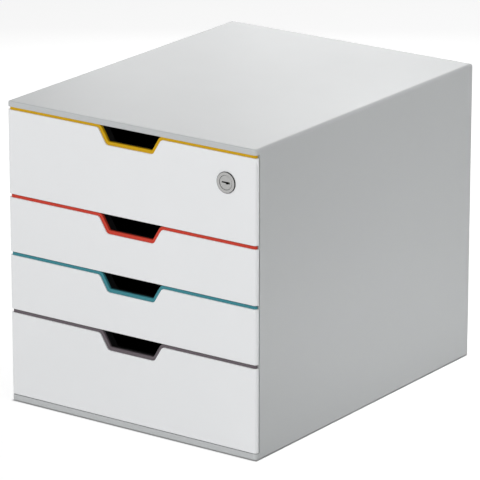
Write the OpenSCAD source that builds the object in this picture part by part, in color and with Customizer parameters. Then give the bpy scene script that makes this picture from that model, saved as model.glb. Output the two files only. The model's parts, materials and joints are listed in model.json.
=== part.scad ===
// Desktop drawer box for papers: a moulded housing with four drawers and a cam lock in the top one.
// X is to the right, Y to the back and Z up. The origin is under the middle, on the desk.
// Distances called "in" are measured backwards from the plane of the drawer fronts.

/* [Housing] */
// Width of the housing and of the drawer fronts
width = 280; // [262:1:330]
// Depth of the housing, from the plane of the fronts to the back edge
body_depth = 356; // [320:1:420]
// Height of one step of the stack
step = 28; // [27:0.5:34]
// Height of the top and the bottom drawer, in steps
tall_steps = 3; // [3:1:4]
// Height of the two middle drawers, in steps
low_steps = 2; // [2:1:3]
// Thickness of the side walls
wall = 2.8; // [2.2:0.1:3.4]
// Thickness of the top
top_wall = 3; // [2.4:0.1:3.6]
// Thickness of the rim and the band, front to back
lip_wall = 3; // [2.4:0.1:3.6]
// Height of the rim over the drawers
rim_h = 5.5; // [5:0.5:8]
// Height of the band under the drawers
band_h = 5.5; // [5.5:0.5:8]
// Radius of the front corners, seen from above
corner_r = 3.75; // [3.5:0.25:5]
// Radius of the top's edges at the sides and the back
top_edge_r = 3; // [1:0.25:3.5]
// Radius of the top's front edge
front_edge_r = 1.25; // [0.5:0.25:3]
// Radius of the edges underneath
bottom_edge_r = 0.5; // [0.5:0.25:2]
// Radius of the upright back edges
back_edge_r = 2; // [0.5:0.25:3]
// Width of the flange that the base plate lies on
flange_w = 26; // [24:1:32]
// Thickness of that flange
flange_t = 3; // [2.8:0.1:3.2]
// Thickness of the base plate
base_t = 2; // [1.6:0.1:2.2]
// Thickness of the back panel
back_t = 3; // [2:0.1:4]
// How far the back panel lies in from the back edge
back_recess = 2.2; // [2:0.1:4]

/* [Runner frames] */
// Thickness of a runner frame's plate
frame_t = 2.3; // [1.8:0.1:3]
// How far in a runner frame begins
frame_in = 8; // [7:0.5:10]
// Width of a ledge
ledge_w = 12; // [9:0.5:16]
// Thickness of a ledge
ledge_t = 2; // [1.6:0.1:2.6]
// Width of a guide over a tray's flange
guide_w = 2.9; // [2.4:0.1:3.4]
// Thickness of a guide
guide_t = 2; // [1.6:0.1:2.4]
// Height of a stop tooth and of a stop lug
stop_h = 1.7; // [1.3:0.1:2]
// Length of a stop tooth and of a stop lug
stop_len = 6; // [4:0.5:9]
// Radius of the bosses for the back screws
back_boss_r = 3.8; // [3.2:0.1:3.8]
// Length of the bosses
boss_len = 16; // [14:1:22]

/* [Drawers] */
// Open height between two drawer fronts
front_gap = 3.5; // [2.5:0.1:4.5]
// Share of that height that lies in the upper drawer's space
front_lift = 0.7; // [0.5:0.1:1.2]
// Gap between a front and the edge of the side wall
side_gap = 1.5; // [0.5:0.1:2]
// Wall of a white front
front_t = 1.5; // [1.2:0.1:2]
// Thickness of the coloured lip, right behind the front
lip_t = 2.5; // [1.8:0.1:2.8]
// How far the lip shows around the notch
lip_border = 3.2; // [2:0.1:3.4]
// Distance from a front's wall back to the front wall of its tray
boss_space = 12; // [11:0.5:15]
// How far the top of a tray's collar lies under the front's top edge
collar_drop = 0.3; // [0.1:0.1:0.6]
// Wall of a tray
tray_t = 2; // [1.6:0.1:2.6]
// Floor of a tray
tray_floor = 2; // [1.6:0.1:2.6]
// How far a tray's side walls lie under the top of the drawer's space
tray_drop = 12; // [11.5:0.1:14]
// Radius of a tray's rear corners, outside
tray_r = 8; // [4:0.5:12]
// Width of the flange along a tray's sides
tray_flange_w = 2.9; // [2.5:0.1:3.4]
// Thickness of that flange
tray_flange_t = 1.8; // [1.4:0.1:2.4]
// How far a drawer pulls out
travel = 265; // [150:5:280]

/* [Finger notch] */
// Depth of the notch
notch_d = 15.1; // [12:0.1:18]
// Width of the notch at the front's top edge
notch_top_w = 71; // [64:0.5:100]
// Width of the notch at its bottom
notch_bottom_w = 52.6; // [40:0.2:58]
// Radius of the notch's corners
notch_r = 4.5; // [3.5:0.1:6]

/* [Lock] */
// Distance of the lock from the front's right edge
lock_from_side = 32.8; // [30:0.1:40]
// Distance of the lock under the front's top edge
lock_from_top = 26.9; // [25:0.1:28]
// Radius of the lock's face flange
lock_face_r = 10; // [9.5:0.1:12]
// How far the lock stands out of the front
lock_proud = 1.2; // [0.8:0.1:2]
// Radius of the barrel
barrel_r = 8.5; // [8.2:0.1:9]
// Length of the barrel behind the plane of the fronts
barrel_len = 25.5; // [25:0.5:28]
// Radius of the plug
plug_r = 6.5; // [6.3:0.05:7.2]
// Wall at the rear of the barrel
barrel_rear_t = 2.9; // [2:0.1:4]
// Radius of the plug's tail
tail_r = 4.15; // [3.5:0.05:4.5]
// Width across the flats of the plug's tail
tail_flat = 5.6; // [4.6:0.1:6.4]
// Depth of the plug's face behind the flange's face
plug_sink = 0.2; // [0.1:0.05:0.4]
// Length of the key slot
key_slot_w = 8.6; // [7:0.1:9]
// Height of the key slot
key_slot_h = 1.3; // [1:0.1:1.6]
// Depth of the key slot
key_slot_depth = 15; // [13:0.5:17]
// Number of wafers
wafer_count = 4; // [3:1:5]
// Thickness of a wafer
wafer_t = 1; // [0.8:0.05:1.1]
// Distance from wafer to wafer
wafer_pitch = 2.4; // [2.2:0.1:2.5]
// Width across the flats of the nut
nut_w = 19; // [18.8:0.1:21]
// Thickness of the nut
nut_t = 3; // [2:0.1:3.4]
// Thickness of the stop washer
washer_t = 1.4; // [1.2:0.1:1.6]
// Thickness of the cam
cam_t = 2; // [1.5:0.1:2.4]
// Width of the cam's arm
cam_w = 12; // [10:0.5:14]
// Thickness of the strike
strike_t = 2; // [1.5:0.1:2.4]
// Height of the strike
strike_h = 13; // [12.6:0.1:13]
// Width of the strike
strike_w = 48; // [46:1:52]
// Thickness of the block that carries the strike
catch_t = 5; // [4.4:0.1:5.2]

/* [Feet and screws] */
// Radius of a foot
foot_r = 8; // [6:0.5:8.5]
// How far a foot stands out underneath
foot_stand = 1; // [0.6:0.1:2]
// Depth of a foot's recess
foot_recess = 1; // [0.6:0.1:1.4]
// Distance of a foot's middle from the housing's sides, front and back
foot_inset = 16; // [15:0.5:16.5]
// Radius of a screw
screw_r = 1.5; // [1.25:0.05:1.6]
// Length of a bottom or back screw under its head
screw_len = 12; // [10:0.5:13]
// Solid depth of a front boss ahead of its screw's tip
front_screw_tip = 2; // [1.5:0.1:3]
// Length of a strike screw under its head
strike_screw_len = 5.5; // [5:0.1:6]
// Radius of a screw head
screw_head_r = 2.9; // [2.6:0.1:3]
// Thickness of a screw head
screw_head_h = 1.8; // [1.4:0.1:1.9]
// Distance of the outer bottom screws from the housing's front and back
bottom_screw_inset = 50; // [40:1:80]
// Distance of a front's lower screws from the edge of its lip
low_screw_inset = 24; // [15:1:40]
// Distance of a front's upper screws from its notch
high_screw_inset = 37; // [25:1:40]
// Distance of a front's screws from its top and bottom edges
front_screw_inset = 12; // [10:0.5:14]
// Radius of the bosses behind a front
front_boss_r = 3.6; // [3.2:0.1:4.2]

/* [Clearances] */
// Gap between plates that fit into each other
fit_gap = 0.2; // [0.1:0.05:0.3]
// Gap between a piece that slides and what carries it
run_gap = 0.3; // [0.2:0.05:0.4]
// Gap around a piece that turns, and between a screw and its pilot hole
bore_gap = 0.05; // [0.03:0.01:0.08]
// Gap around a screw in a through hole
through_gap = 0.4; // [0.3:0.05:0.5]
// Play between a tray's flange and the runner frame at its side
side_play = 0.8; // [0.5:0.1:1]
// Play between a tray and the back panel when the drawer is closed
back_play = 1.5; // [1:0.1:3]
// Play over a tray's flange
guide_play = 0.5; // [0.4:0.05:0.6]

/* [Hidden] */
$fn = 64;
arc_steps = 8;
over = 1;

housing_grey = [0.72, 0.74, 0.75];
frame_grey = [0.50, 0.51, 0.53];
front_white = [0.93, 0.94, 0.95];
tray_charcoal = [0.12, 0.12, 0.13];
rubber_black = [0.08, 0.08, 0.08];
steel = [0.68, 0.69, 0.70];
nickel = [0.80, 0.80, 0.79];
brass = [0.78, 0.62, 0.30];
lip_colours = [[0.86, 0.67, 0.18], [0.80, 0.29, 0.20], [0.24, 0.58, 0.64], [0.42, 0.39, 0.41]];

// The stack, from the top drawer down
drawer_steps = [tall_steps, low_steps, low_steps, tall_steps];
drawer_count = len(drawer_steps);
last = drawer_count - 1;
function steps_below(k) = k == last ? 0 : drawer_steps[k + 1] + steps_below(k + 1);
floor_z = foot_stand + band_h;
function slot_z(k) = floor_z + step * steps_below(k);
function slot_top(k) = slot_z(k) + step * drawer_steps[k];
roof_z = slot_top(0);
height = roof_z + rim_h;
ceiling_z = height - top_wall;

// Front to back
front_y = -(body_depth + lock_proud) / 2 + lock_proud;
back_y = front_y + body_depth;
function in(d) = front_y + d;
wall_in = corner_r + side_gap;
lip_back = front_t + lip_t;
front_wall_in = front_t + boss_space;
front_wall_back = front_wall_in + tray_t;
panel_in = body_depth - back_recess - back_t;
tray_back = panel_in - back_play;
frame_back = panel_in - fit_gap;

// Side to side
inner_x = width / 2 - wall;
frame_out_x = inner_x - fit_gap;
frame_x = frame_out_x - frame_t;
ledge_x = frame_x - ledge_w;
guide_x = frame_x - guide_w;
panel_x = frame_x - side_play;
tray_x = panel_x - tray_flange_w;

// Heights in the housing
flange_z = foot_stand + flange_t;
base_z = flange_z + base_t;

// Heights in a drawer
function front_z(k) = slot_z(k) + front_lift;
function front_top(k) = slot_top(k) - front_gap + front_lift;
function tray_z(k) = slot_z(k) + ledge_t + run_gap;
function tray_top(k) = slot_top(k) - tray_drop;
function guide_z(k) = tray_top(k) + guide_play + stop_h;

// Stops: the lug at the tray's rear meets the tooth on the guide
lug_in = tray_back - tray_r - stop_len;
tooth_in = lug_in - travel - guide_play - stop_len;
guide_in = front_wall_back + guide_play;

// The notch's side, measured from the horizontal
notch_angle = atan2(notch_d, (notch_top_w - notch_bottom_w) / 2);
notch_shift = notch_r * tan(notch_angle / 2);
notch_edge_r = 0.2;

// Screws
pilot_r = screw_r + bore_gap;
through_r = screw_r + through_gap;
head_space_r = screw_head_r + fit_gap;
head_space_h = screw_head_h + fit_gap;
bottom_boss_w = frame_out_x - tray_x - run_gap;
bottom_screw_x = frame_out_x - bottom_boss_w / 2;
bottom_screw_ins = [bottom_screw_inset, body_depth / 2, body_depth - bottom_screw_inset];
back_screw_x = frame_x - back_boss_r;
function back_screw_z(k) = slot_top(k) - back_boss_r;
low_screw_x = panel_x - low_screw_inset;
high_screw_x = notch_top_w / 2 + notch_shift + high_screw_inset;
front_screw_len = front_wall_back - front_t - front_screw_tip;
function front_screw_places(k) = [
    for (side = [-1, 1]) [side * low_screw_x, front_z(k) + front_screw_inset],
    for (side = [-1, 1]) [side * high_screw_x, front_top(k) - front_screw_inset]
];

// Lock
lock_x = width / 2 - lock_from_side;
lock_z = front_top(0) - lock_from_top;
barrel_bore_r = plug_r + bore_gap;
plug_len = barrel_len - barrel_rear_t - bore_gap;
tail_bore_r = tail_r + bore_gap;
lock_boss_t = 3;
lock_boss_r = barrel_r + lock_boss_t;
washer_in = barrel_len + 2 * bore_gap;
cam_in = washer_in + washer_t;
tail_len = cam_in + cam_t;
cam_hub_r = 8;
cam_top_gap = 3.5;
cam_len = ceiling_z - cam_top_gap - lock_z;
cam_corner_r = 2;
cam_screw_r = 1.5;
cam_screw_len = 9;
cam_head_r = 5.2;
cam_head_h = 2;
strike_in = cam_in - guide_play - strike_t;
catch_in = strike_in - catch_t;
strike_z = ceiling_z - strike_h;
strike_shift = 8;
strike_x = lock_x - strike_shift;
strike_screw_inset = 4;
strike_screw_x = strike_w / 2 - strike_screw_inset;
strike_screw_z = ceiling_z - strike_h / 2;
wafer_in = 3;
wafer_half_w = 2.5;
wafer_half_len = sqrt(pow(plug_r - fit_gap, 2) - pow(wafer_half_w, 2));
wafer_window_h = 2.8;
wafer_window_play = 0.8;
wafer_window_w = key_slot_w + wafer_window_play;
spring_r = 0.5;
spring_len = 3;
ear_w = 1;
ear_h = 1.4;

// Shares of the key slot's height over its middle, and of its length and height in its ward
key_bar_share = 0.65;
key_ward_w_share = 0.32;
key_ward_h_share = 0.7;

// Shares of a screw head's radius in the width and the length of its cross slot
screw_slot_w_share = 0.28;
screw_slot_len_share = 1.2;

// --- Shapes used by more than one piece ---

// A box between two opposite corners
module block(from, to) {
    translate(from) cube(to - from);
}

// What a rounded corner of radius r takes away at the origin
module corner_cut(r) {
    difference() {
        translate([-over, -over]) square(r + over);
        translate([r, r]) circle(r);
    }
}

// A rectangle between two corners. The radii start at "from" and go round anticlockwise.
module round_rect(from, to, radii) {
    difference() {
        translate(from) square(to - from);
        if (radii[0] > 0) translate(from) corner_cut(radii[0]);
        if (radii[1] > 0) translate([to[0], from[1]]) mirror([1, 0]) corner_cut(radii[1]);
        if (radii[2] > 0) translate(to) mirror([1, 0]) mirror([0, 1]) corner_cut(radii[2]);
        if (radii[3] > 0) translate([from[0], to[1]]) mirror([0, 1]) corner_cut(radii[3]);
    }
}

// A front view (x, z), extruded from one distance in to another
module upright(from_in, to_in) {
    translate([0, in(to_in), 0]) rotate([90, 0, 0]) linear_extrude(to_in - from_in) children();
}

// A side view (y, z), extruded across the width
module sideways(half_x) {
    translate([-half_x, 0, 0]) rotate([90, 0, 90]) linear_extrude(2 * half_x) children();
}

// A hole or a pin that runs backwards
module backward(x, from_in, z) {
    translate([x, in(from_in), z]) rotate([-90, 0, 0]) children();
}

function arc(c, r, a0, a1) = [
    for (i = [0:arc_steps]) let (a = a0 + (a1 - a0) * i / arc_steps) c + r * [cos(a), sin(a)]
];

function mirrored(points) = [
    for (i = [len(points) - 1:-1:0]) [-points[i][0], points[i][1]]
];

// Outline of a drawer's face with its notch, drawn in by t along the top and around the notch.
// Where t is negative it is drawn out.
function face_points(half_x, bottom, top, t) = let (
    crest = [notch_top_w / 2 + notch_shift, top - notch_r],
    root = [notch_bottom_w / 2 - notch_shift, top - notch_d + notch_r],
    right = concat(
        [[half_x, bottom], [half_x, top - t]],
        arc(crest, max(notch_r - t, notch_edge_r), 90, 90 + notch_angle),
        arc(root, max(notch_r + t, notch_edge_r), notch_angle - 90, -90)
    )
) concat(right, mirrored(right));

module face(half_x, bottom, top, t = 0) {
    polygon(face_points(half_x, bottom, top, t));
}

// A screw with its head's seat at the origin and its head towards +Z
module screw(len, r = screw_r, head_r = screw_head_r, head_h = screw_head_h) {
    slot_w = head_r * screw_slot_w_share;
    slot_len = head_r * screw_slot_len_share;
    difference() {
        union() {
            translate([0, 0, -len]) cylinder(r = r, h = len + head_h / 2);
            cylinder(r = head_r, h = head_h);
        }
        for (turn = [0, 90]) rotate(turn)
            translate([-slot_len / 2, -slot_w / 2, head_h / 2]) cube([slot_len, slot_w, head_h]);
    }
}

// --- Housing ---

module housing_block() {
    intersection() {
        translate([0, 0, foot_stand]) linear_extrude(height - foot_stand)
            round_rect([-width / 2, front_y], [width / 2, back_y],
                [corner_r, corner_r, back_edge_r, back_edge_r]);
        upright(-over, body_depth + over)
            round_rect([-width / 2, foot_stand], [width / 2, height],
                [bottom_edge_r, bottom_edge_r, top_edge_r, top_edge_r]);
        sideways(width / 2 + over)
            round_rect([front_y, foot_stand], [back_y, height],
                [bottom_edge_r, bottom_edge_r, top_edge_r, front_edge_r]);
    }
}

module at_feet() {
    for (x = [-1, 1], y = [foot_inset, body_depth - foot_inset])
        translate([x * (width / 2 - foot_inset), in(y), 0]) children();
}

module at_bottom_screws() {
    for (x = [-1, 1], d = bottom_screw_ins) translate([x * bottom_screw_x, in(d), 0]) children();
}

module at_back_screws() {
    for (x = [-1, 1], k = [0:last]) backward(x * back_screw_x, panel_in, back_screw_z(k)) children();
}

module at_strike_screws() {
    for (x = [-1, 1]) backward(strike_x + x * strike_screw_x, strike_in, strike_screw_z) children();
}

module housing_shell() {
    color(housing_grey) difference() {
        union() {
            difference() {
                housing_block();
                block([-inner_x, in(lip_wall), flange_z], [inner_x, back_y + over, ceiling_z]);
                block([-width / 2 - over, front_y - over, floor_z],
                    [width / 2 + over, in(wall_in), roof_z]);
                block([-width / 2 + flange_w, in(flange_w), 0],
                    [width / 2 - flange_w, back_y - flange_w, flange_z + over]);
            }
            block([strike_x - strike_w / 2, in(catch_in), strike_z],
                [strike_x + strike_w / 2, in(strike_in), ceiling_z + top_wall / 2]);
        }
        at_feet() cylinder(r = foot_r, h = foot_stand + foot_recess);
        at_bottom_screws() {
            cylinder(r = head_space_r, h = foot_stand + head_space_h);
            cylinder(r = through_r, h = flange_z + over);
        }
        at_strike_screws() translate([0, 0, -catch_t - over]) cylinder(r = pilot_r, h = catch_t + 2 * over);
    }
}

module base_plate() {
    color(housing_grey) difference() {
        block([-inner_x + fit_gap, in(lip_wall + fit_gap), flange_z],
            [inner_x - fit_gap, in(frame_back), base_z]);
        at_bottom_screws() cylinder(r = through_r, h = height);
    }
}

module back_panel() {
    color(housing_grey) difference() {
        block([-inner_x + fit_gap, in(panel_in), flange_z],
            [inner_x - fit_gap, in(panel_in + back_t), ceiling_z - fit_gap]);
        at_back_screws() translate([0, 0, -over]) cylinder(r = through_r, h = back_t + 2 * over);
    }
}

module runner_frame() {
    difference() {
        union() {
            block([frame_x, in(frame_in), base_z], [frame_out_x, in(frame_back), ceiling_z - run_gap]);
            for (k = [0:last]) {
                ledge_bottom = k == last ? base_z : slot_z(k);
                block([ledge_x, in(guide_in), ledge_bottom],
                    [frame_x + frame_t / 2, in(frame_back), slot_z(k) + ledge_t]);
                block([guide_x, in(guide_in), guide_z(k)],
                    [frame_x + frame_t / 2, in(frame_back), guide_z(k) + guide_t]);
                block([guide_x, in(tooth_in), guide_z(k) - stop_h],
                    [frame_x + frame_t / 2, in(tooth_in + stop_len), guide_z(k) + guide_t / 2]);
                backward(back_screw_x, frame_back - boss_len, back_screw_z(k))
                    cylinder(r = back_boss_r, h = boss_len);
                block([back_screw_x, in(frame_back - boss_len), back_screw_z(k) - back_boss_r],
                    [frame_x + frame_t / 2, in(frame_back), back_screw_z(k) + back_boss_r]);
            }
            for (d = bottom_screw_ins) block(
                [frame_out_x - bottom_boss_w, in(d) - bottom_boss_w, base_z],
                [frame_x + frame_t / 2, in(d) + bottom_boss_w, base_z + boss_len]);
        }
        for (d = bottom_screw_ins) translate([bottom_screw_x, in(d), base_z - over])
            cylinder(r = pilot_r, h = boss_len);
        for (k = [0:last]) backward(back_screw_x, frame_back - boss_len + over, back_screw_z(k))
            cylinder(r = pilot_r, h = boss_len);
    }
}

module rubber_feet() {
    color(rubber_black) at_feet() cylinder(r = foot_r - bore_gap, h = foot_stand + foot_recess);
}

module bottom_screws() {
    color(steel) at_bottom_screws() translate([0, 0, foot_stand + head_space_h]) mirror([0, 0, 1])
        screw(screw_len);
}

module back_screws() {
    color(steel) at_back_screws() translate([0, 0, back_t]) screw(screw_len);
}

module lock_strike() {
    color(steel) difference() {
        block([strike_x - strike_w / 2, in(strike_in), strike_z],
            [strike_x + strike_w / 2, in(strike_in + strike_t), ceiling_z - fit_gap]);
        at_strike_screws() translate([0, 0, -over]) cylinder(r = through_r, h = strike_t + 2 * over);
    }
}

module strike_screws() {
    color(steel) at_strike_screws() translate([0, 0, strike_t]) screw(strike_screw_len);
}

// --- Drawers, counted from the top ---

module at_front_screws(k, from_in) {
    for (p = front_screw_places(k)) backward(p[0], from_in, p[1]) children();
}

module at_lock(from_in = 0) {
    backward(lock_x, from_in, lock_z) children();
}

module front(k) {
    color(front_white) difference() {
        union() {
            intersection() {
                upright(-over, corner_r + over) face(width / 2, front_z(k), front_top(k));
                difference() {
                    translate([0, 0, front_z(k)]) linear_extrude(front_top(k) - front_z(k))
                        round_rect([-width / 2, front_y], [width / 2, in(corner_r)],
                            [corner_r, corner_r, 0, 0]);
                    translate([0, 0, front_z(k) + front_t]) linear_extrude(step * drawer_steps[k])
                        round_rect([-width / 2 + front_t, in(front_t)],
                            [width / 2 - front_t, in(corner_r + over)],
                            [corner_r - front_t, corner_r - front_t, 0, 0]);
                }
            }
            at_front_screws(k, front_t / 2) cylinder(r = front_boss_r, h = front_wall_in - front_t / 2);
            if (k == 0) at_lock(front_t / 2) cylinder(r = lock_boss_r, h = front_wall_in - front_t / 2);
        }
        at_front_screws(k, front_t + front_screw_tip / 2) cylinder(r = pilot_r, h = front_wall_in);
        if (k == 0) at_lock(-over) cylinder(r = barrel_r + fit_gap, h = front_wall_in + 2 * over);
    }
}

// A plate right behind the front. It shows around the notch and over the front's top edge.
module lip(k) {
    low = front_z(k) + front_t;
    high = slot_top(k) - run_gap;
    half_x = width / 2 - front_t - fit_gap;
    edge_r = corner_r - front_t;
    color(lip_colours[k]) difference() {
        intersection() {
            upright(front_t, lip_back) face(half_x, low, front_top(k), -lip_border);
            translate([0, 0, low]) linear_extrude(high - low)
                round_rect([-half_x, in(front_t)], [half_x, in(lip_back + over)], [edge_r, edge_r, 0, 0]);
        }
        at_front_screws(k, 0) cylinder(r = front_boss_r + fit_gap, h = lip_back + over);
        if (k == 0) at_lock() cylinder(r = lock_boss_r + fit_gap, h = lip_back + over);
    }
}

// A tray's front wall stands behind the bosses, and its collar reaches from there to the lip
module tray(k) {
    low = tray_z(k);
    high = tray_top(k);
    collar_top = front_top(k) - collar_drop;
    color(tray_charcoal) difference() {
        union() {
            difference() {
                translate([0, 0, low]) linear_extrude(high - low)
                    round_rect([-tray_x, in(front_wall_back - tray_t / 2)], [tray_x, in(tray_back)],
                        [0, 0, tray_r, tray_r]);
                translate([0, 0, low + tray_floor]) linear_extrude(high - low)
                    round_rect([-tray_x + tray_t, in(front_wall_in)],
                        [tray_x - tray_t, in(tray_back - tray_t)], [0, 0, tray_r - tray_t, tray_r - tray_t]);
            }
            upright(front_wall_in, front_wall_back) face(panel_x, low, collar_top);
            upright(lip_back, front_wall_in + tray_t / 2) difference() {
                face(panel_x, low, collar_top);
                face(panel_x - tray_t, low + tray_t, collar_top, tray_t);
            }
            for (side = [0, 1]) mirror([side, 0, 0]) {
                block([tray_x - tray_t / 2, in(front_wall_back - tray_t / 2), high - tray_flange_t],
                    [panel_x, in(lug_in + stop_len), high]);
                block([tray_x, in(lug_in), high - tray_flange_t / 2],
                    [panel_x, in(lug_in + stop_len), high + stop_h]);
            }
        }
        at_front_screws(k, front_wall_in - over) cylinder(r = through_r, h = tray_t + 2 * over);
        if (k == 0) at_lock(front_wall_in - over) cylinder(r = barrel_r + fit_gap, h = tray_t + 2 * over);
    }
}

module front_screws(k) {
    color(steel) at_front_screws(k, front_wall_back) screw(front_screw_len);
}

// --- Lock, with its axis towards the back ---

module double_d(r, flat) {
    intersection() {
        circle(r);
        square([2 * r + over, flat], center = true);
    }
}

module lock_barrel() {
    color(nickel) at_lock() difference() {
        union() {
            translate([0, 0, -lock_proud]) cylinder(r = lock_face_r, h = lock_proud);
            translate([0, 0, -lock_proud / 2]) cylinder(r = barrel_r, h = barrel_len + lock_proud / 2);
        }
        translate([0, 0, -lock_proud - over])
            cylinder(r = barrel_bore_r, h = lock_proud + over + barrel_len - barrel_rear_t);
        cylinder(r = tail_bore_r, h = barrel_len + over);
    }
}

module lock_nut() {
    color(nickel) at_lock(front_wall_back) difference() {
        rotate(30) cylinder(r = nut_w / sqrt(3), h = nut_t, $fn = 6);
        translate([0, 0, -over]) cylinder(r = barrel_r + bore_gap, h = nut_t + 2 * over);
    }
}

// The key slot: a bar with a ward below it, towards the right
module key_slot() {
    bar_up = key_slot_h * key_bar_share;
    bar_down = key_slot_h - bar_up;
    ward_w = key_slot_w * key_ward_w_share;
    ward_h = key_slot_h * key_ward_h_share;
    translate([-key_slot_w / 2, -bar_up]) square([key_slot_w, key_slot_h]);
    square([ward_w, bar_down + ward_h]);
    translate([(key_slot_w - ward_w) / 2, 0]) square([ward_w / 2, bar_down + ward_h / 2]);
}

module wafer_space(gap) {
    ear_x = spring_len / 2;
    translate([-wafer_half_len - gap, -wafer_half_w - gap])
        square(2 * [wafer_half_len + gap, wafer_half_w + gap]);
    translate([ear_x - gap, 0]) square([ear_w + 2 * gap, wafer_half_w + ear_h + gap]);
}

module at_wafers() {
    for (i = [0:wafer_count - 1]) translate([0, 0, wafer_in + i * wafer_pitch]) children();
}

module lock_plug() {
    slot_gap = fit_gap / 2;
    color(nickel) at_lock() difference() {
        union() {
            translate([0, 0, -lock_proud + plug_sink])
                cylinder(r = plug_r, h = plug_len + lock_proud - plug_sink);
            cylinder(r = tail_r, h = washer_in);
            linear_extrude(tail_len) double_d(tail_r, tail_flat);
        }
        translate([0, 0, -lock_proud]) linear_extrude(key_slot_depth + lock_proud) key_slot();
        at_wafers() {
            translate([0, 0, -slot_gap]) linear_extrude(wafer_t + 2 * slot_gap) wafer_space(slot_gap);
            translate([-spring_len / 2 - slot_gap, wafer_half_w, -slot_gap])
                cube([spring_len + 2 * slot_gap, ear_h + slot_gap, wafer_t + 2 * slot_gap]);
        }
        translate([0, 0, tail_len - cam_screw_len])
            cylinder(r = cam_screw_r + bore_gap, h = cam_screw_len + over);
    }
}

module lock_wafers() {
    color(brass) at_lock() at_wafers() linear_extrude(wafer_t) difference() {
        wafer_space(0);
        square([wafer_window_w, wafer_window_h], center = true);
    }
}

module wafer_springs() {
    color(steel) at_lock() at_wafers()
        translate([-spring_len / 2, wafer_half_w + ear_h / 2, wafer_t / 2]) rotate([0, 90, 0])
            cylinder(r = spring_r, h = spring_len);
}

module stop_washer() {
    color(steel) at_lock(washer_in) difference() {
        cylinder(r = cam_hub_r, h = washer_t);
        translate([0, 0, -over]) linear_extrude(washer_t + 2 * over)
            double_d(tail_r + bore_gap, tail_flat + 2 * bore_gap);
    }
}

// The cam points to the left when the drawer is free
module lock_cam() {
    color(steel) at_lock(cam_in) difference() {
        union() {
            cylinder(r = cam_hub_r, h = cam_t);
            linear_extrude(cam_t) round_rect([-cam_len, -cam_w / 2], [0, cam_w / 2],
                [cam_corner_r, 0, 0, cam_corner_r]);
        }
        translate([0, 0, -over]) linear_extrude(cam_t + 2 * over)
            double_d(tail_r + bore_gap, tail_flat + 2 * bore_gap);
    }
}

module cam_screw() {
    color(steel) at_lock(tail_len) screw(cam_screw_len - over, cam_screw_r, cam_head_r, cam_head_h);
}

// --- What is drawn ---

housing_shell();
base_plate();
back_panel();
color(frame_grey) mirror([1, 0, 0]) runner_frame();  // runner_frame_left
color(frame_grey) runner_frame();  // runner_frame_right
rubber_feet();
bottom_screws();
back_screws();
lock_strike();
strike_screws();
tray(0);  // tray_1
tray(1);  // tray_2
tray(2);  // tray_3
tray(3);  // tray_4
lip(0);  // lip_1
lip(1);  // lip_2
lip(2);  // lip_3
lip(3);  // lip_4
front(0);  // front_1
front(1);  // front_2
front(2);  // front_3
front(3);  // front_4
front_screws(0);  // front_screws_1
front_screws(1);  // front_screws_2
front_screws(2);  // front_screws_3
front_screws(3);  // front_screws_4
lock_barrel();
lock_nut();
lock_plug();
lock_wafers();
wafer_springs();
stop_washer();
lock_cam();
cam_screw();
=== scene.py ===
"""A desktop drawer box with four drawers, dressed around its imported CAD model."""
import json
import math

import bmesh
import bpy
from mathutils import Matrix, Vector


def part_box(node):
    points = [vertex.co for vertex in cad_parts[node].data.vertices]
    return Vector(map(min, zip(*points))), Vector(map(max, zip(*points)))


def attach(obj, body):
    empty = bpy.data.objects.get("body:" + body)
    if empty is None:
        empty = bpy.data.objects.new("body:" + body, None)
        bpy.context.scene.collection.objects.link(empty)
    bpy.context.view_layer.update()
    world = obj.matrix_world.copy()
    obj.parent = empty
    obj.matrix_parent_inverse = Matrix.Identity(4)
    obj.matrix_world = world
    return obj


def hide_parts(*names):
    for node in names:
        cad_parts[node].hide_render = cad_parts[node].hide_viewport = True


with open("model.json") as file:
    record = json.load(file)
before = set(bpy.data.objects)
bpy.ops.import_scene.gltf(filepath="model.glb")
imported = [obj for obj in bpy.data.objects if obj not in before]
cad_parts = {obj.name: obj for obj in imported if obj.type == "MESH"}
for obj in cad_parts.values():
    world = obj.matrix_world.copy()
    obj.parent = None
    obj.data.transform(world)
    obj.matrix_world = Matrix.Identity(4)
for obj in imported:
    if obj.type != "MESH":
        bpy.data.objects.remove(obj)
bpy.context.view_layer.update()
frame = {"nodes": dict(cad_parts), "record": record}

# Lengths are in metres
MM = 0.001

# ---- Sizes that the part's source also holds ----

CORNER_R = 3.75 * MM
BACK_EDGE_R = 2 * MM
TOP_EDGE_R = 3 * MM
FRONT_EDGE_R = 1.25 * MM
BOTTOM_EDGE_R = 0.5 * MM
WALL = 2.8 * MM
TOP_WALL = 3 * MM
LIP_WALL = 3 * MM
FLANGE_W = 26 * MM
FLANGE_T = 3 * MM
SIDE_GAP = 1.5 * MM
BAND_H = 5.5 * MM
RIM_H = 5.5 * MM
FRONT_T = 1.5 * MM
NOTCH_D = 15.1 * MM
NOTCH_TOP_W = 71 * MM
NOTCH_BOTTOM_W = 52.6 * MM
NOTCH_R = 4.5 * MM
FRONT_BOSS_R = 3.6 * MM
SCREW_HEAD_R = 2.9 * MM
HIGH_SCREW_INSET = 37 * MM
LOCK_BOSS_R = 11.5 * MM
LOCK_HOLE_R = 8.7 * MM
CATCH_T = 5 * MM
LOCK_FACE_R = 10 * MM
LOCK_PROUD = 1.2 * MM
BARREL_R = 8.5 * MM
BARREL_BORE_R = 6.55 * MM
BARREL_REAR_T = 2.9 * MM
TAIL_BORE_R = 4.2 * MM

# ---- Places read from the frame ----

DRAWERS = (1, 2, 3, 4)
LOCK_DRAWER = 1
shell_low, shell_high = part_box("housing_shell")
front_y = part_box("front_1")[0].y
boss_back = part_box("front_1")[1].y
half_w = shell_high.x
floor_z = shell_low.z + BAND_H
roof_z = shell_high.z - RIM_H
ceiling_z = shell_high.z - TOP_WALL
lock_low, lock_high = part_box("lock_barrel")
lock_centre = (lock_low + lock_high) / 2


# ---- Mesh helpers ----

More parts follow.
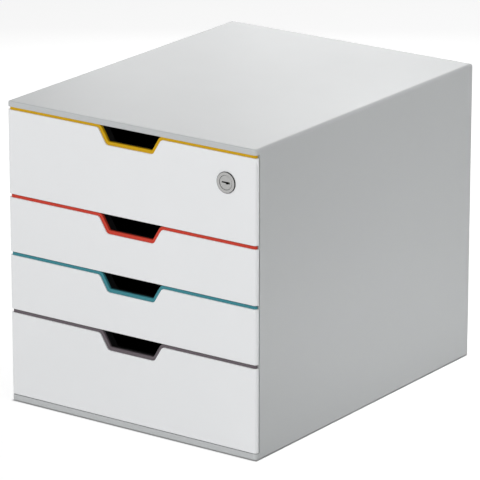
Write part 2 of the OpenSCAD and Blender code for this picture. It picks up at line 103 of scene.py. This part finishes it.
LEAST_R = 0.2 * MM
MERGE_DISTANCE = 0.002 * MM
FLAT_ANGLE = math.radians(0.4)
BEVEL_ANGLE = math.radians(32)
# How far a cutting piece reaches past what it cuts
OVER = MM


def add_object(name, bm):
    """A new mesh object from bm, with its face normals recalculated, in the scene."""
    mesh = bpy.data.meshes.new(name)
    bmesh.ops.recalc_face_normals(bm, faces=bm.faces)
    bm.to_mesh(mesh)
    bm.free()
    piece = bpy.data.objects.new(name, mesh)
    bpy.context.scene.collection.objects.link(piece)
    return piece


def prism(name, outline, axis, start, end):
    """An outline extruded along an axis. Its points hold the other two coordinates, in order."""
    bm = bmesh.new()
    rings = []
    for level in (start, end):
        ring = []
        for a, b in outline:
            co = [a, b]
            co.insert("xyz".index(axis), level)
            ring.append(bm.verts.new(co))
        rings.append(ring)
    count = len(outline)
    bm.faces.new(rings[0])
    bm.faces.new(rings[1])
    for i in range(count):
        j = (i + 1) % count
        bm.faces.new((rings[0][i], rings[0][j], rings[1][j], rings[1][i]))
    return add_object(name, bm)


def box_piece(name, low, high):
    outline = [(low[0], low[1]), (high[0], low[1]), (high[0], high[1]), (low[0], high[1])]
    return prism(name, outline, "z", low[2], high[2])


def arc(centre, radius, start, end, steps=10):
    """Points on an arc, with its angles in degrees."""
    turns = [math.radians(start + (end - start) * i / steps) for i in range(steps + 1)]
    return [(centre[0] + radius * math.cos(t), centre[1] + radius * math.sin(t)) for t in turns]


def round_outline(low, high, radii, inset=0.0, steps=10):
    """A rectangle with rounded corners, from low anticlockwise, drawn in by inset."""
    x0, y0, x1, y1 = low[0] + inset, low[1] + inset, high[0] - inset, high[1] - inset
    points = []
    corners = ((x0, y0, 1, 1, 180), (x1, y0, -1, 1, 270), (x1, y1, -1, -1, 0), (x0, y1, 1, -1, 90))
    for (x, y, sx, sy, start), radius in zip(corners, radii):
        if radius == 0:
            points.append((x, y))
            continue
        r = max(radius - inset, LEAST_R)
        points += arc((x + sx * r, y + sy * r), r, start, start + 90, steps)
    return points


def boolean(piece, other, operation="DIFFERENCE"):
    """Applies a boolean to piece and deletes the other object."""
    change = piece.modifiers.new("boolean", "BOOLEAN")
    change.solver = "EXACT"
    change.operation = operation
    change.object = other
    bpy.context.view_layer.update()
    graph = bpy.context.evaluated_depsgraph_get()
    mesh = bpy.data.meshes.new_from_object(piece.evaluated_get(graph))
    piece.modifiers.remove(change)
    old = piece.data
    piece.data = mesh
    bpy.data.meshes.remove(old)
    bpy.data.objects.remove(other)


def soften(piece, width, segments=3):
    """Rounds the sharp edges and keeps the flats flat in the shading."""
    bm = bmesh.new()
    bm.from_mesh(piece.data)
    bmesh.ops.remove_doubles(bm, verts=bm.verts, dist=MERGE_DISTANCE)
    bmesh.ops.dissolve_limit(bm, angle_limit=FLAT_ANGLE, verts=bm.verts, edges=bm.edges)
    bm.to_mesh(piece.data)
    bm.free()
    for face in piece.data.polygons:
        face.use_smooth = True
    bevel = piece.modifiers.new("edges", "BEVEL")
    bevel.width = width
    bevel.segments = segments
    bevel.limit_method = "ANGLE"
    bevel.angle_limit = BEVEL_ANGLE
    bevel.miter_outer = "MITER_ARC"
    normals = piece.modifiers.new("normals", "WEIGHTED_NORMAL")
    normals.mode = "FACE_AREA"
    normals.keep_sharp = False


def loft(name, rings, hollow=False):
    """A skin over rings of equal length, capped at its ends or, where hollow, joined up."""
    bm = bmesh.new()
    made = [[bm.verts.new(p) for p in ring] for ring in rings]
    count = len(rings[0])
    following = made[1:] + made[:1] if hollow else made[1:]
    for low, high in zip(made, following):
        for i in range(count):
            j = (i + 1) % count
            bm.faces.new((low[i], low[j], high[j], high[i]))
    if not hollow:
        bm.faces.new(made[0])
        bm.faces.new(made[-1])
    return add_object(name, bm)


def lathe(name, profile, centre, steps=96, hollow=False):
    """Turns a profile of (radius, distance back) about an axis along Y through centre."""
    turns = [2 * math.pi * i / steps for i in range(steps)]
    rings = [
        [(centre.x + radius * math.cos(t), centre.y + back, centre.z + radius * math.sin(t))
         for t in turns]
        for radius, back in profile
    ]
    return loft(name, rings, hollow)


def cylinder(name, radius, centre, start, end, steps=48):
    return lathe(name, [(radius, start), (radius, end)], centre, steps)


# ---- Materials ----

# Scales of the noise textures, in cells a metre
COLOUR_CELLS = 9
WAVE_CELLS = 30
GLOSS_CELLS = 40
MARK_CELLS = 350
# Shares of a metal's roughness between its handling marks and in them
CLEAN_SHARE = 0.7
MARKED_SHARE = 1.4


def new_material(name, colour, roughness, metallic=0.0):
    material = bpy.data.materials.new(name)
    material.use_nodes = True
    shader = material.node_tree.nodes["Principled BSDF"]
    shader.inputs["Base Color"].default_value = (*colour, 1)
    shader.inputs["Roughness"].default_value = roughness
    shader.inputs["Metallic"].default_value = metallic
    return material, shader


def noise(tree, scale, detail=2.0):
    """A noise texture on the piece's own coordinates, with scale in cells a metre."""
    nodes, links = tree.nodes, tree.links
    coordinates = nodes.get("Texture Coordinate") or nodes.new("ShaderNodeTexCoord")
    texture = nodes.new("ShaderNodeTexNoise")
    texture.inputs["Scale"].default_value = scale
    texture.inputs["Detail"].default_value = detail
    links.new(coordinates.outputs["Object"], texture.inputs["Vector"])
    return texture


def spread(tree, source, low, high, near=0.35, far=0.65):
    """Maps a noise's grey to the range from low to high."""
    node = tree.nodes.new("ShaderNodeMapRange")
    node.inputs["From Min"].default_value = near
    node.inputs["From Max"].default_value = far
    node.inputs["To Min"].default_value = low
    node.inputs["To Max"].default_value = high
    tree.links.new(source, node.inputs["Value"])
    return node.outputs["Result"]


def plastic(name, colour, roughness, grain=1600, grain_depth=0.006, waviness=0.006, shade=0.02,
            swing=0.05):
    """Moulded plastic with a fine grain, slow waves and a slight drift of colour and gloss.

    The depths of the grain and the waves are in millimetres.
    """
    material, shader = new_material(name, colour, roughness)
    tree = material.node_tree
    drift = noise(tree, COLOUR_CELLS, detail=3)
    mix = tree.nodes.new("ShaderNodeMix")
    mix.data_type = "RGBA"
    mix.inputs["A"].default_value = (*[c * (1 - shade) for c in colour], 1)
    mix.inputs["B"].default_value = (*[min(c * (1 + shade), 1) for c in colour], 1)
    tree.links.new(spread(tree, drift.outputs["Fac"], 0, 1), mix.inputs["Factor"])
    tree.links.new(mix.outputs["Result"], shader.inputs["Base Color"])
    patches = noise(tree, GLOSS_CELLS, detail=4)
    gloss = spread(tree, patches.outputs["Fac"], roughness - swing, roughness + swing)
    tree.links.new(gloss, shader.inputs["Roughness"])
    waves = tree.nodes.new("ShaderNodeBump")
    waves.inputs["Strength"].default_value = 1.0
    waves.inputs["Distance"].default_value = waviness * MM
    tree.links.new(noise(tree, WAVE_CELLS, detail=1).outputs["Fac"], waves.inputs["Height"])
    bump = tree.nodes.new("ShaderNodeBump")
    bump.inputs["Strength"].default_value = 1.0
    bump.inputs["Distance"].default_value = grain_depth * MM
    tree.links.new(noise(tree, grain, detail=3).outputs["Fac"], bump.inputs["Height"])
    tree.links.new(waves.outputs["Normal"], bump.inputs["Normal"])
    tree.links.new(bump.outputs["Normal"], shader.inputs["Normal"])
    return material


def metal(name, colour, roughness, grain=2500, grain_depth=0.004):
    """Plated metal with faint handling marks. The depth of its grain is in millimetres."""
    material, shader = new_material(name, colour, roughness, metallic=1.0)
    tree = material.node_tree
    marks = noise(tree, MARK_CELLS, detail=5)
    gloss = spread(tree, marks.outputs["Fac"], roughness * CLEAN_SHARE, roughness * MARKED_SHARE)
    tree.links.new(gloss, shader.inputs["Roughness"])
    bump = tree.nodes.new("ShaderNodeBump")
    bump.inputs["Strength"].default_value = 1.0
    bump.inputs["Distance"].default_value = grain_depth * MM
    tree.links.new(noise(tree, grain, detail=2).outputs["Fac"], bump.inputs["Height"])
    tree.links.new(bump.outputs["Normal"], shader.inputs["Normal"])
    return material


LIP_COLOURS = {
    "lip_yellow": (0.591, 0.343, 0.003),
    "lip_red": (0.562, 0.05, 0.0275),
    "lip_teal": (0.048, 0.233, 0.272),
    "lip_grey": (0.1325, 0.112, 0.124),
}
LIP_ROUGHNESS = 0.34
LIP_SHINE = 0.15
materials = {
    "housing": plastic("grey_housing", (0.50, 0.515, 0.52), 0.36,
                       waviness=0.0012, shade=0.006, swing=0.006),
    "frame": plastic("grey_frame", (0.22, 0.225, 0.235), 0.5, grain_depth=0.012),
    "front": plastic("white_front", (0.80, 0.81, 0.82), 0.28,
                     grain_depth=0.003, waviness=0.0015, shade=0.005, swing=0.006),
    "tray": plastic("black_tray", (0.012, 0.012, 0.013), 0.42, grain_depth=0.02, shade=0.1),
    "foot": plastic("rubber_foot", (0.015, 0.015, 0.015), 0.8,
                    grain=900, grain_depth=0.03, shade=0.1),
    "screw": metal("zinc_screw", (0.45, 0.45, 0.46), 0.35),
    "lock_metal": metal("nickel_lock", (0.40, 0.40, 0.395), 0.22),
    # Painted reflection and shade on the lock: a near-black metal put on the flange's rim, the
    # bore's chamfer and the key slot's walls
    "lock_painted_shade": metal("lock_painted_reflection_metal", (0.02, 0.02, 0.02), 0.3),
    "cam": metal("zinc_cam", (0.42, 0.42, 0.43), 0.4),
    "wafer": metal("brass_wafer", (0.60, 0.42, 0.14), 0.35),
}
for slot_name, colour in LIP_COLOURS.items():
    materials[slot_name] = plastic(slot_name + "_plastic", colour, LIP_ROUGHNESS)
    lip_shader = materials[slot_name].node_tree.nodes["Principled BSDF"]
    lip_shader.inputs["Specular IOR Level"].default_value = LIP_SHINE


def set_material(piece, slot_name):
    piece.data.materials.clear()
    piece.data.materials.append(materials[slot_name])


slot_of = {row["node"]: row["material_slot"] for row in frame["record"]["subparts"]}
bodies = frame["record"]["behaviour"]["bodies"]
body_of = {node: body for body, members in bodies.items() for node in members}


def stand_for(piece, node):
    """piece takes the place of a CAD node, with its body and its material slot."""
    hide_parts(node)
    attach(piece, body_of[node])
    set_material(piece, slot_of[node])


# ---- Housing ----

EDGE_STEPS = 14
HOUSING_SOFT_EDGE = 0.25 * MM


def roll(radius, depth):
    """How far an edge of this radius draws in at a depth under its flat."""
    return radius - math.sqrt(max(radius ** 2 - max(radius - depth, 0) ** 2, 0))


def rounded_shell_block():
    """The housing's outside with rolled edges. The top's front edge has its own radius."""
    high = (half_w, shell_high.y)
    radii = (CORNER_R, CORNER_R, BACK_EDGE_R, BACK_EDGE_R)
    turns = [math.radians(90 * i / EDGE_STEPS) for i in range(EDGE_STEPS + 1)]
    levels = [(BOTTOM_EDGE_R, BOTTOM_EDGE_R, BOTTOM_EDGE_R * (1 - math.sin(t)), shell_low.z, 1)
              for t in reversed(turns)]
    levels += [(TOP_EDGE_R, FRONT_EDGE_R, TOP_EDGE_R * (1 - math.sin(t)), shell_high.z, -1)
               for t in turns]
    rings = []
    for edge_r, front_r, depth, flat, inward in levels:
        inset = roll(edge_r, depth)
        low = (-half_w, front_y + roll(front_r, depth) - inset)
        outline = round_outline(low, high, radii, inset)
        rings.append([(x, y, flat + inward * depth) for x, y in outline])
    return loft("housing", rings)


def make_housing():
    housing = rounded_shell_block()
    inner_x = half_w - WALL
    wall_front = front_y + CORNER_R + SIDE_GAP
    window_x = half_w - FLANGE_W
    base_z = shell_low.z + FLANGE_T
    far = 2 * OVER
    boolean(housing, box_piece("cavity", (-inner_x, front_y + LIP_WALL, base_z),
                               (inner_x, shell_high.y + far, ceiling_z)))
    boolean(housing, box_piece("opening", (-half_w - far, front_y - far, floor_z),
                               (half_w + far, wall_front, roof_z)))
    boolean(housing, box_piece("window", (-window_x, front_y + FLANGE_W, shell_low.z - far),
                               (window_x, shell_high.y - FLANGE_W, base_z + far)))
    strike_low, strike_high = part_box("lock_strike")
    boolean(housing, box_piece("catch", (strike_low.x, strike_low.y - CATCH_T, strike_low.z),
                               (strike_high.x, strike_low.y, ceiling_z + TOP_WALL / 2)), "UNION")
    soften(housing, HOUSING_SOFT_EDGE)
    stand_for(housing, "housing_shell")


# ---- Drawer fronts ----

FRONT_SOFT_EDGE = 0.3 * MM
NOTCH_STEPS = 12
BOSS_STEPS = 32
notch_slope = math.atan2(NOTCH_D, (NOTCH_TOP_W - NOTCH_BOTTOM_W) / 2)
notch_shift = NOTCH_R * math.tan(notch_slope / 2)


def face_outline(half, bottom, top):
    """The outline (x, z) of a drawer's face with its notch."""
    angle = math.degrees(notch_slope)
    crest = (NOTCH_TOP_W / 2 + notch_shift, top - NOTCH_R)
    root = (NOTCH_BOTTOM_W / 2 - notch_shift, top - NOTCH_D + NOTCH_R)
    right = [(half, bottom), (half, top)]
    right += arc(crest, NOTCH_R, 90, 90 + angle, NOTCH_STEPS)
    right += arc(root, NOTCH_R, angle - 90, -90, NOTCH_STEPS)
    return right + [(-x, z) for x, z in reversed(right)]


def front_screw_places(k):
    """The (x, z) of a front's screws, from the CAD screws' box."""
    low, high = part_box(f"front_screws_{k}")
    outer, lower, upper = high.x - SCREW_HEAD_R, low.z + SCREW_HEAD_R, high.z - SCREW_HEAD_R
    inner = NOTCH_TOP_W / 2 + notch_shift + HIGH_SCREW_INSET
    return [(-outer, lower), (outer, lower), (-inner, upper), (inner, upper)]


def make_front(k):
    """A drawer's front: a thin shell, open at the back and on top, with a notch and bosses."""
    node = f"front_{k}"
    low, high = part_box(node)
    corner_y = front_y + CORNER_R
    boss_front = front_y + FRONT_T / 2
    inside_r = CORNER_R - FRONT_T
    outside = round_outline((-half_w, front_y), (half_w, corner_y), (CORNER_R, CORNER_R, 0, 0))
    inside = round_outline((-half_w + FRONT_T, front_y + FRONT_T),
                           (half_w - FRONT_T, corner_y + 2 * OVER), (inside_r, inside_r, 0, 0))
    face = face_outline(half_w + OVER, low.z - OVER, high.z)
    piece = prism(f"drawer_front_{k}", outside, "z", low.z, high.z)
    boolean(piece, prism("hollow", inside, "z", low.z + FRONT_T, high.z + 5 * OVER))
    boolean(piece, prism("face", face, "y", front_y - OVER, corner_y + OVER), "INTERSECT")
    if k == LOCK_DRAWER:
        centre = Vector((lock_centre.x, 0, lock_centre.z))
        boolean(piece, cylinder("boss", LOCK_BOSS_R, centre, boss_front, boss_back), "UNION")
        boolean(piece, cylinder("hole", LOCK_HOLE_R, centre, front_y - OVER, boss_back + OVER))
    for x, z in front_screw_places(k):
        boss = cylinder("boss", FRONT_BOSS_R, Vector((x, 0, z)), boss_front, boss_back, BOSS_STEPS)
        boolean(piece, boss, "UNION")
    soften(piece, FRONT_SOFT_EDGE)
    stand_for(piece, node)


# ---- Lock barrel ----

THREAD_START = 4 * MM
THREAD_PITCH = 1 * MM
THREAD_DEPTH = 0.35 * MM
FLANGE_ROUND_R = 0.5 * MM
FLANGE_STEPS = 5
BARREL_CHAMFER = 0.3 * MM
BARREL_SOFT_EDGE = 0.05 * MM
# How squarely a face looks along the lock's axis, when picking the faces for painted shade:
# a flat one by the first at least, and a wall of the key slot by less than the second
FLAT_FACING = 0.9
WALL_FACING = 0.5
# The key slot's walls, which get painted shade, lie at least this far inside the barrel's bore
SLOT_MARGIN = 0.5 * MM


def paint_lock_shade(piece, chosen):
    """Gives a near-black metal, painted shade and painted reflection, to the faces that chosen
    picks.

    It is told a face's radius on the lock's axis and how squarely it looks along that axis.
    """
    piece.data.materials.append(materials["lock_painted_shade"])
    for face in piece.data.polygons:
        offset = face.center - lock_centre
        if chosen(math.hypot(offset.x, offset.z), abs(face.normal.y)):
            face.material_index = 1


def make_barrel():
    """The lock's barrel, turned with a rounded flange, a thread and a stepped bore."""
    back = lock_high.y - front_y
    rear_wall = back - BARREL_REAR_T
    profile = [(BARREL_BORE_R, rear_wall), (BARREL_BORE_R, BARREL_CHAMFER - LOCK_PROUD),
               (BARREL_BORE_R + BARREL_CHAMFER, -LOCK_PROUD)]
    round_centre = (LOCK_FACE_R - FLANGE_ROUND_R, FLANGE_ROUND_R - LOCK_PROUD)
    profile += arc(round_centre, FLANGE_ROUND_R, -90, 0, FLANGE_STEPS)
    profile += [(LOCK_FACE_R, 0), (BARREL_R, 0)]
    turns = int((back - BARREL_CHAMFER - THREAD_START) / THREAD_PITCH)
    for i in range(turns):
        crest = THREAD_START + i * THREAD_PITCH
        profile += [(BARREL_R, crest), (BARREL_R - THREAD_DEPTH, crest + THREAD_PITCH / 2)]
    profile += [(BARREL_R, back - BARREL_CHAMFER), (BARREL_R - BARREL_CHAMFER, back),
                (TAIL_BORE_R, back), (TAIL_BORE_R, rear_wall)]
    centre = Vector((lock_centre.x, front_y, lock_centre.z))
    barrel = lathe("lock_barrel_turned", profile, centre, hollow=True)
    soften(barrel, BARREL_SOFT_EDGE, segments=2)
    stand_for(barrel, "lock_barrel")
    rim_start, chamfer_end = LOCK_FACE_R - FLANGE_ROUND_R, BARREL_BORE_R + BARREL_CHAMFER
    # Painted reflection and shade: the flange's rounded rim and side, and the bore's chamfer in the
    # gap round the plug, get the near-black metal
    paint_lock_shade(barrel, lambda radius, facing:
           radius > rim_start or (radius < chamfer_end and facing < FLAT_FACING))


# ---- Pieces that keep the CAD's shape, with softened edges ----

# Width of the softened edges, in millimetres
EDGE_WIDTHS = {
    "tray_1": 0.5, "tray_2": 0.5, "tray_3": 0.5, "tray_4": 0.5,
    "lip_1": 0.35, "lip_2": 0.35, "lip_3": 0.35, "lip_4": 0.35,
    "base_plate": 0.4, "back_panel": 0.4, "runner_frame_left": 0.4, "runner_frame_right": 0.4,
    "lock_strike": 0.3, "lock_cam": 0.3, "lock_nut": 0.3, "stop_washer": 0.2, "rubber_feet": 0.35,
    "lock_plug": 0.08,
}


def soften_node(node, width):
    """A copy of a CAD node with softened edges takes its place."""
    source = frame["nodes"][node]
    piece = bpy.data.objects.new(node + "_soft", source.data.copy())
    bpy.context.scene.collection.objects.link(piece)
    attributes = piece.data.attributes
    if attributes.get("custom_normal"):
        attributes.remove(attributes["custom_normal"])
    soften(piece, width * MM)
    stand_for(piece, node)
    if node == "lock_plug":
        # Painted shade: the walls of the key slot get the near-black metal where the slot lies in
        # shade
        paint_lock_shade(piece, lambda radius, facing:
               radius < BARREL_BORE_R - SLOT_MARGIN and facing < WALL_FACING)


make_housing()
for number in DRAWERS:
    make_front(number)
make_barrel()
for name, edge_width in EDGE_WIDTHS.items():
    soften_node(name, edge_width)
for name, node_object in frame["nodes"].items():
    set_material(node_object, slot_of[name])


# ---- Floor, light and camera ----

FLOOR_SIZE = 40.0
FLOOR_GREY = 0.75
FLOOR_GLOW = 0.55
# Width of the band round the housing's footprint over which the floor's glow fades in, painting a
# contact shadow
PAINTED_SHADOW_WIDTH = 0.6 * MM
WHITE = (1, 1, 1, 1)
AMBIENT = 0.3
LAMP_AIM = (0, 0, 0.15)
LAMP_SPREAD = 180
# Each lamp's name, place, size and power, and its own aim and spread in degrees where it has them
LAMPS = (
    ("front_right", (0.8, -2.6, 1.0), 1.6, 34.7),
    ("front_left", (-1.3, -2.3, 1.0), 1.6, 10.6),
    ("above_right", (0.9, 0.9, 1.8), 1.2, 4.7),
    ("above_back", (0, 1.2, 1.8), 1.2, 5.8),
    ("back_left", (-0.65, 0.95, 0.5), 0.6, 1.2),
    ("back_middle", (-0.45, 0.65, 0.5), 0.4, 0.26),
    ("back_right", (-0.25, 0.75, 0.5), 0.5, 0.34),
    ("right_low", (1.3, 0.8, 0.2), 0.8, 0.84),
    ("right_floor", (0.45, 0.1, 0.9), 0.4, 0.93, (0.5, 0.1, 0), 50),
)


def white_for_view(tree, plain, seen):
    """Shows seen to camera, glossy and transmission rays, and plain to all the others."""
    nodes, links = tree.nodes, tree.links
    path = nodes.new("ShaderNodeLightPath")
    chosen = path.outputs["Is Camera Ray"]
    for kind in ("Is Glossy Ray", "Is Transmission Ray"):
        most = nodes.new("ShaderNodeMath")
        most.operation = "MAXIMUM"
        links.new(chosen, most.inputs[0])
        links.new(path.outputs[kind], most.inputs[1])
        chosen = most.outputs[0]
    choice = nodes.new("ShaderNodeMixShader")
    links.new(chosen, choice.inputs["Fac"])
    links.new(plain.outputs[0], choice.inputs[1])
    links.new(seen.outputs[0], choice.inputs[2])
    return choice


def glow_with_painted_contact_shadow(tree):
    """The floor's glow, with a painted contact shadow.

    It is missing under the housing's footprint, where the floor shows its own shadow, and fades in
    over a narrow band round the footprint, which paints a thin contact shadow there.
    """
    nodes, links = tree.nodes, tree.links
    middle, half = (shell_low + shell_high) / 2, (shell_high - shell_low) / 2
    source = nodes.new("ShaderNodeTexCoord").outputs["Object"]
    for operation, amount in (("SUBTRACT", middle), ("ABSOLUTE", None), ("SUBTRACT", half)):
        step = nodes.new("ShaderNodeVectorMath")
        step.operation = operation
        links.new(source, step.inputs[0])
        if amount is not None:
            step.inputs[1].default_value = amount
        source = step.outputs["Vector"]
    parts = nodes.new("ShaderNodeSeparateXYZ")
    links.new(source, parts.inputs[0])
    distance = nodes.new("ShaderNodeMath")
    distance.operation = "MAXIMUM"
    links.new(parts.outputs["X"], distance.inputs[0])
    links.new(parts.outputs["Y"], distance.inputs[1])
    return spread(tree, distance.outputs[0], 0, FLOOR_GLOW, 0, PAINTED_SHADOW_WIDTH)


def add_floor():
    bm = bmesh.new()
    corners = [(x * FLOOR_SIZE, y * FLOOR_SIZE, 0) for x, y in ((-1, -1), (1, -1), (1, 1), (-1, 1))]
    bm.faces.new([bm.verts.new(corner) for corner in corners])
    floor = add_object("floor", bm)
    material = bpy.data.materials.new("pale_floor")
    material.use_nodes = True
    tree = material.node_tree
    tree.nodes.clear()
    diffuse = tree.nodes.new("ShaderNodeBsdfDiffuse")
    diffuse.inputs["Color"].default_value = (FLOOR_GREY, FLOOR_GREY, FLOOR_GREY, 1)
    glow = tree.nodes.new("ShaderNodeEmission")
    tree.links.new(glow_with_painted_contact_shadow(tree), glow.inputs["Strength"])
    seen = tree.nodes.new("ShaderNodeAddShader")
    tree.links.new(diffuse.outputs[0], seen.inputs[0])
    tree.links.new(glow.outputs[0], seen.inputs[1])
    output = tree.nodes.new("ShaderNodeOutputMaterial")
    tree.links.new(white_for_view(tree, diffuse, seen).outputs[0], output.inputs["Surface"])
    floor.data.materials.append(material)


def add_world():
    world = bpy.data.worlds.new("studio")
    bpy.context.scene.world = world
    world.use_nodes = True
    tree = world.node_tree
    tree.nodes.clear()
    ambient = tree.nodes.new("ShaderNodeBackground")
    ambient.inputs["Color"].default_value = WHITE
    ambient.inputs["Strength"].default_value = AMBIENT
    white = tree.nodes.new("ShaderNodeBackground")
    white.inputs["Color"].default_value = WHITE
    output = tree.nodes.new("ShaderNodeOutputWorld")
    tree.links.new(white_for_view(tree, ambient, white).outputs[0], output.inputs["Surface"])


def add_lamp(name, place, size, power, aim=LAMP_AIM, spread_angle=LAMP_SPREAD):
    """A soft square lamp that looks at the middle of the object, or at aim."""
    light = bpy.data.lights.new(name, "AREA")
    light.size = size
    light.energy = power
    light.spread = math.radians(spread_angle)
    lamp = bpy.data.objects.new(name, light)
    lamp.location = place
    lamp.rotation_mode = "QUATERNION"
    lamp.rotation_quaternion = (Vector(aim) - Vector(place)).to_track_quat("-Z", "Y")
    lamp.visible_camera = False
    bpy.context.scene.collection.objects.link(lamp)


# The camera stands where a fit to the photograph's edges puts it
CAMERA_AZIMUTH = math.radians(35.344)
CAMERA_ELEVATION = math.radians(17.742)
CAMERA_DISTANCE = 3793.73 * MM
CAMERA_TARGET = Vector((0, 0.6 * MM, 146 * MM))
CAMERA_RIGHT = -3.461 * MM
CAMERA_UP = -8.513 * MM
SENSOR = 36.0
# The focal length over the picture's width, both in pixels, from the same fit
FOCAL_SHARE = 4029.11 / 480
CLIP_END = 100


def add_camera():
    data = bpy.data.cameras.new("camera")
    data.sensor_width = SENSOR
    data.lens = FOCAL_SHARE * SENSOR
    data.clip_end = CLIP_END
    level = math.cos(CAMERA_ELEVATION)
    back = Vector((math.sin(CAMERA_AZIMUTH) * level, -math.cos(CAMERA_AZIMUTH) * level,
                   math.sin(CAMERA_ELEVATION)))
    right = (-back).cross(Vector((0, 0, 1))).normalized()
    up = right.cross(-back)
    camera = bpy.data.objects.new("camera", data)
    camera.matrix_world = Matrix.Translation(
        CAMERA_TARGET + back * CAMERA_DISTANCE + right * CAMERA_RIGHT + up * CAMERA_UP
    ) @ Matrix((right, up, back)).transposed().to_4x4()
    bpy.context.scene.collection.objects.link(camera)
    bpy.context.scene.camera = camera


add_floor()
add_world()
for lamp_setting in LAMPS:
    add_lamp(*lamp_setting)
add_camera()
bpy.context.scene.view_settings.view_transform = "Standard"
